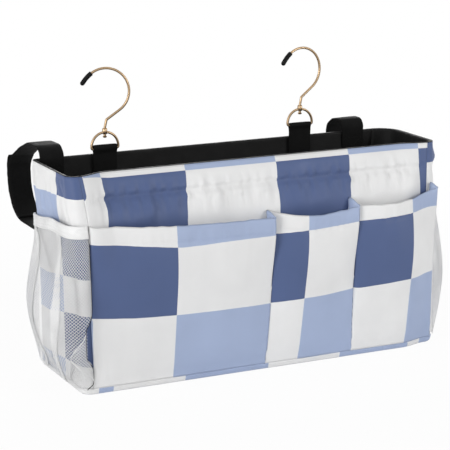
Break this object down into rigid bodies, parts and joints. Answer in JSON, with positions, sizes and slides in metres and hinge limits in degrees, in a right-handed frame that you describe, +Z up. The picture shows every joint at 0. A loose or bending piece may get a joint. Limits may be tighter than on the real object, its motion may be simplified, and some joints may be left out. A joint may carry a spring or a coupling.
{
  "type": "bedside caddy",
  "caption": "Open-topped stiffened cloth organizer with front pockets, mesh end pockets, swivelling wire hooks on D-rings and hook-and-loop straps.",
  "frame": {"origin": "middle of the underside, on the surface the caddy stands on, midway between the base's ends", "axes": "+X to the right along the width seen from the front, +Y to the back with the hooks and straps, +Z up"},
  "size_m": [0.429, 0.209, 0.287],
  "materials": {
    "printed_cloth": "checked woven polyester, dark blue, light blue and white",
    "white_binding": "white elastic binding",
    "stiff_board": "grey stiffening board",
    "black_lining": "black woven lining",
    "white_mesh": "white knitted mesh",
    "black_webbing": "black webbing and hook-and-loop tape",
    "pale_gold": "polished pale gold wire",
    "black_rubber": "black rubber sleeve"
  },
  "bodies": {
    "bag": {"front_panel": "printed_cloth", "front_board": "stiff_board", "front_lining": "black_lining", "back_panel": "printed_cloth", "back_board": "stiff_board", "back_lining": "black_lining", "left_end_panel": "printed_cloth", "left_end_board": "stiff_board", "left_end_lining": "black_lining", "right_end_panel": "printed_cloth", "right_end_board": "stiff_board", "right_end_lining": "black_lining", "base_panel": "printed_cloth", "base_board": "stiff_board", "base_lining": "black_lining", "left_front_pocket": "printed_cloth", "middle_front_pocket": "printed_cloth", "right_front_pocket": "printed_cloth", "left_mesh_pocket": "white_mesh", "right_mesh_pocket": "white_mesh", "left_mesh_band": "white_binding", "right_mesh_band": "white_binding", "left_ring_tab": "black_webbing", "right_ring_tab": "black_webbing", "left_strap_upper": "black_webbing", "right_strap_upper": "black_webbing", "left_strap_sewn_end": "black_webbing", "right_strap_sewn_end": "black_webbing"},
    "left_ring": {"left_d_ring": "pale_gold"},
    "left_hook": {"left_hook": "pale_gold", "left_hook_cap": "black_rubber"},
    "right_ring": {"right_d_ring": "pale_gold"},
    "right_hook": {"right_hook": "pale_gold", "right_hook_cap": "black_rubber"},
    "left_strap": {"left_strap_lower": "black_webbing"},
    "right_strap": {"right_strap_lower": "black_webbing"}
  },
  "joints": [
    {"name": "left_ring_swing", "type": "hinge", "parent": "bag", "child": "left_ring", "pos_m": [-0.121, 0.0403, 0.2033], "axis": [1, 0, 0], "range_deg": [-100, 75]},
    {"name": "left_hook_swivel", "type": "hinge", "parent": "left_ring", "child": "left_hook", "pos_m": [-0.121, 0.0403, 0.2225], "axis": [0, 0, 1], "continuous": true},
    {"name": "right_ring_swing", "type": "hinge", "parent": "bag", "child": "right_ring", "pos_m": [0.0865, 0.0403, 0.2098], "axis": [1, 0, 0], "range_deg": [-100, 75]},
    {"name": "right_hook_swivel", "type": "hinge", "parent": "right_ring", "child": "right_hook", "pos_m": [0.0865, 0.0403, 0.229], "axis": [0, 0, 1], "continuous": true},
    {"name": "left_strap_peel", "type": "hinge", "parent": "bag", "child": "left_strap", "pos_m": [-0.1738, 0.0479, 0.12675], "axis": [-1, 0, 0], "range_deg": [0, 90]},
    {"name": "right_strap_peel", "type": "hinge", "parent": "bag", "child": "right_strap", "pos_m": [0.1475, 0.0479, 0.12675], "axis": [-1, 0, 0], "range_deg": [0, 90]}
  ]
}
